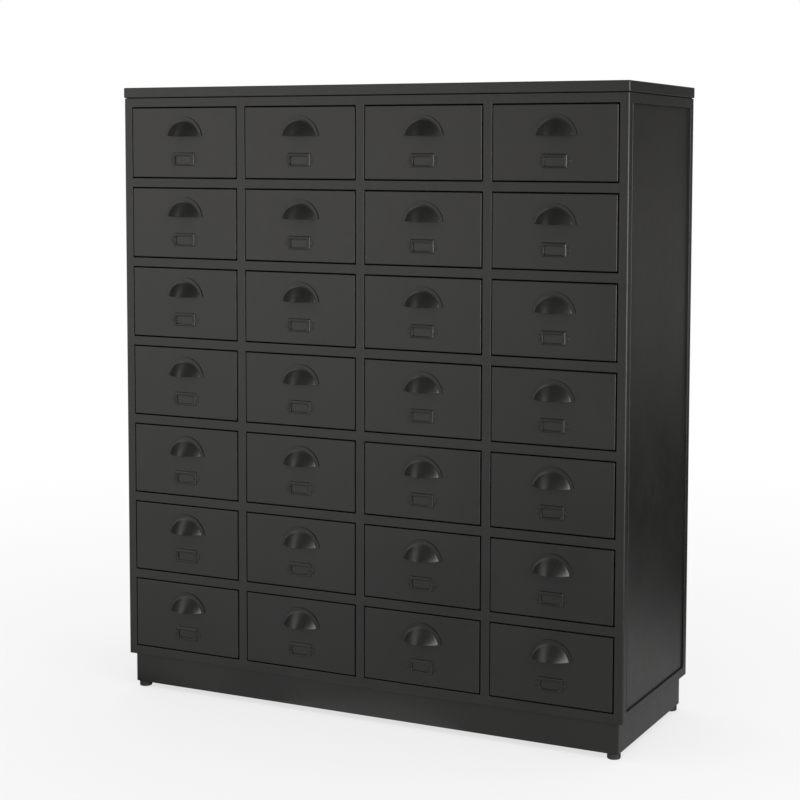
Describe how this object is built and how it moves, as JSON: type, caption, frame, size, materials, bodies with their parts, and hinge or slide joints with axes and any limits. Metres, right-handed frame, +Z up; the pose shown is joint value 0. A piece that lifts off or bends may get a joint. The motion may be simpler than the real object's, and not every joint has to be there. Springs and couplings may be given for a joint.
{
  "type": "drawer cabinet",
  "caption": "Tall black steel cabinet on a recessed plinth: a flush grid of sliding sheet steel drawers, each with a cup pull and a card frame.",
  "frame": {"origin": "the middle of the floor under the cabinet, the cup pulls counted in its depth", "axes": "+Z up, +Y from the drawer fronts to the back, +X to the right seen from the front"},
  "size_m": [1.203, 0.4255, 1.364],
  "materials": {
    "powder_coat": "satin",
    "fittings": "satin",
    "zinc": "satin",
    "foot_pad": "satin"
  },
  "bodies": {
    "carcass": {"post_front_left": "powder_coat", "post_front_right": "powder_coat", "post_rear_left": "powder_coat", "post_rear_right": "powder_coat", "front_rails": "powder_coat", "front_stiles": "powder_coat", "rear_rails": "powder_coat", "side_rails": "powder_coat", "rear_uprights": "powder_coat", "side_panel_left": "powder_coat", "side_panel_right": "powder_coat", "back_panel": "powder_coat", "top_cap": "powder_coat", "bottom_panel": "powder_coat", "runners_column_1": "powder_coat", "runners_column_2": "powder_coat", "runners_column_3": "powder_coat", "runners_column_4": "powder_coat", "plinth_front": "powder_coat", "plinth_rear": "powder_coat", "plinth_left": "powder_coat", "plinth_right": "powder_coat", "plinth_corner_plates": "zinc", "foot_nuts": "zinc", "back_panel_screws": "zinc"},
    "foot_front_left": {"foot_front_left": "foot_pad"},
    "foot_front_right": {"foot_front_right": "foot_pad"},
    "foot_rear_left": {"foot_rear_left": "foot_pad"},
    "foot_rear_right": {"foot_rear_right": "foot_pad"},
    "drawer_r1c1": {"drawer_r1c1_tray": "powder_coat", "drawer_r1c1_front": "powder_coat", "drawer_r1c1_cup_pull": "fittings", "drawer_r1c1_card_frame": "fittings"},
    "drawer_r1c2": {"drawer_r1c2": "powder_coat"},
    "drawer_r1c3": {"drawer_r1c3": "powder_coat"},
    "drawer_r1c4": {"drawer_r1c4": "powder_coat"},
    "drawer_r2c1": {"drawer_r2c1": "powder_coat"},
    "drawer_r2c2": {"drawer_r2c2": "powder_coat"},
    "drawer_r2c3": {"drawer_r2c3": "powder_coat"},
    "drawer_r2c4": {"drawer_r2c4": "powder_coat"},
    "drawer_r3c1": {"drawer_r3c1": "powder_coat"},
    "drawer_r3c2": {"drawer_r3c2": "powder_coat"},
    "drawer_r3c3": {"drawer_r3c3": "powder_coat"},
    "drawer_r3c4": {"drawer_r3c4": "powder_coat"},
    "drawer_r4c1": {"drawer_r4c1": "powder_coat"},
    "drawer_r4c2": {"drawer_r4c2": "powder_coat"},
    "drawer_r4c3": {"drawer_r4c3": "powder_coat"},
    "drawer_r4c4": {"drawer_r4c4": "powder_coat"},
    "drawer_r5c1": {"drawer_r5c1": "powder_coat"},
    "drawer_r5c2": {"drawer_r5c2": "powder_coat"},
    "drawer_r5c3": {"drawer_r5c3": "powder_coat"},
    "drawer_r5c4": {"drawer_r5c4": "powder_coat"},
    "drawer_r6c1": {"drawer_r6c1": "powder_coat"},
    "drawer_r6c2": {"drawer_r6c2": "powder_coat"},
    "drawer_r6c3": {"drawer_r6c3": "powder_coat"},
    "drawer_r6c4": {"drawer_r6c4": "powder_coat"},
    "drawer_r7c1": {"drawer_r7c1": "powder_coat"},
    "drawer_r7c2": {"drawer_r7c2": "powder_coat"},
    "drawer_r7c3": {"drawer_r7c3": "powder_coat"},
    "drawer_r7c4": {"drawer_r7c4": "powder_coat"}
  },
  "joints": [
    {"name": "foot_front_left_screw", "type": "slide", "parent": "carcass", "child": "foot_front_left", "axis": [0, 0, -1], "range_m": [0, 0.01]},
    {"name": "foot_front_right_screw", "type": "slide", "parent": "carcass", "child": "foot_front_right", "axis": [0, 0, -1], "range_m": [0, 0.01]},
    {"name": "foot_rear_left_screw", "type": "slide", "parent": "carcass", "child": "foot_rear_left", "axis": [0, 0, -1], "range_m": [0, 0.01]},
    {"name": "foot_rear_right_screw", "type": "slide", "parent": "carcass", "child": "foot_rear_right", "axis": [0, 0, -1], "range_m": [0, 0.01]},
    {"name": "drawer_r1c1_slide", "type": "slide", "parent": "carcass", "child": "drawer_r1c1", "axis": [0, -1, 0], "range_m": [0, 0.3]},
    {"name": "drawer_r1c2_slide", "type": "slide", "parent": "carcass", "child": "drawer_r1c2", "axis": [0, -1, 0], "range_m": [0, 0.3]},
    {"name": "drawer_r1c3_slide", "type": "slide", "parent": "carcass", "child": "drawer_r1c3", "axis": [0, -1, 0], "range_m": [0, 0.3]},
    {"name": "drawer_r1c4_slide", "type": "slide", "parent": "carcass", "child": "drawer_r1c4", "axis": [0, -1, 0], "range_m": [0, 0.3]},
    {"name": "drawer_r2c1_slide", "type": "slide", "parent": "carcass", "child": "drawer_r2c1", "axis": [0, -1, 0], "range_m": [0, 0.3]},
    {"name": "drawer_r2c2_slide", "type": "slide", "parent": "carcass", "child": "drawer_r2c2", "axis": [0, -1, 0], "range_m": [0, 0.3]},
    {"name": "drawer_r2c3_slide", "type": "slide", "parent": "carcass", "child": "drawer_r2c3", "axis": [0, -1, 0], "range_m": [0, 0.3]},
    {"name": "drawer_r2c4_slide", "type": "slide", "parent": "carcass", "child": "drawer_r2c4", "axis": [0, -1, 0], "range_m": [0, 0.3]},
    {"name": "drawer_r3c1_slide", "type": "slide", "parent": "carcass", "child": "drawer_r3c1", "axis": [0, -1, 0], "range_m": [0, 0.3]},
    {"name": "drawer_r3c2_slide", "type": "slide", "parent": "carcass", "child": "drawer_r3c2", "axis": [0, -1, 0], "range_m": [0, 0.3]},
    {"name": "drawer_r3c3_slide", "type": "slide", "parent": "carcass", "child": "drawer_r3c3", "axis": [0, -1, 0], "range_m": [0, 0.3]},
    {"name": "drawer_r3c4_slide", "type": "slide", "parent": "carcass", "child": "drawer_r3c4", "axis": [0, -1, 0], "range_m": [0, 0.3]},
    {"name": "drawer_r4c1_slide", "type": "slide", "parent": "carcass", "child": "drawer_r4c1", "axis": [0, -1, 0], "range_m": [0, 0.3]},
    {"name": "drawer_r4c2_slide", "type": "slide", "parent": "carcass", "child": "drawer_r4c2", "axis": [0, -1, 0], "range_m": [0, 0.3]},
    {"name": "drawer_r4c3_slide", "type": "slide", "parent": "carcass", "child": "drawer_r4c3", "axis": [0, -1, 0], "range_m": [0, 0.3]},
    {"name": "drawer_r4c4_slide", "type": "slide", "parent": "carcass", "child": "drawer_r4c4", "axis": [0, -1, 0], "range_m": [0, 0.3]},
    {"name": "drawer_r5c1_slide", "type": "slide", "parent": "carcass", "child": "drawer_r5c1", "axis": [0, -1, 0], "range_m": [0, 0.3]},
    {"name": "drawer_r5c2_slide", "type": "slide", "parent": "carcass", "child": "drawer_r5c2", "axis": [0, -1, 0], "range_m": [0, 0.3]},
    {"name": "drawer_r5c3_slide", "type": "slide", "parent": "carcass", "child": "drawer_r5c3", "axis": [0, -1, 0], "range_m": [0, 0.3]},
    {"name": "drawer_r5c4_slide", "type": "slide", "parent": "carcass", "child": "drawer_r5c4", "axis": [0, -1, 0], "range_m": [0, 0.3]},
    {"name": "drawer_r6c1_slide", "type": "slide", "parent": "carcass", "child": "drawer_r6c1", "axis": [0, -1, 0], "range_m": [0, 0.3]},
    {"name": "drawer_r6c2_slide", "type": "slide", "parent": "carcass", "child": "drawer_r6c2", "axis": [0, -1, 0], "range_m": [0, 0.3]},
    {"name": "drawer_r6c3_slide", "type": "slide", "parent": "carcass", "child": "drawer_r6c3", "axis": [0, -1, 0], "range_m": [0, 0.3]},
    {"name": "drawer_r6c4_slide", "type": "slide", "parent": "carcass", "child": "drawer_r6c4", "axis": [0, -1, 0], "range_m": [0, 0.3]},
    {"name": "drawer_r7c1_slide", "type": "slide", "parent": "carcass", "child": "drawer_r7c1", "axis": [0, -1, 0], "range_m": [0, 0.3]},
    {"name": "drawer_r7c2_slide", "type": "slide", "parent": "carcass", "child": "drawer_r7c2", "axis": [0, -1, 0], "range_m": [0, 0.3]},
    {"name": "drawer_r7c3_slide", "type": "slide", "parent": "carcass", "child": "drawer_r7c3", "axis": [0, -1, 0], "range_m": [0, 0.3]},
    {"name": "drawer_r7c4_slide", "type": "slide", "parent": "carcass", "child": "drawer_r7c4", "axis": [0, -1, 0], "range_m": [0, 0.3]}
  ]
}
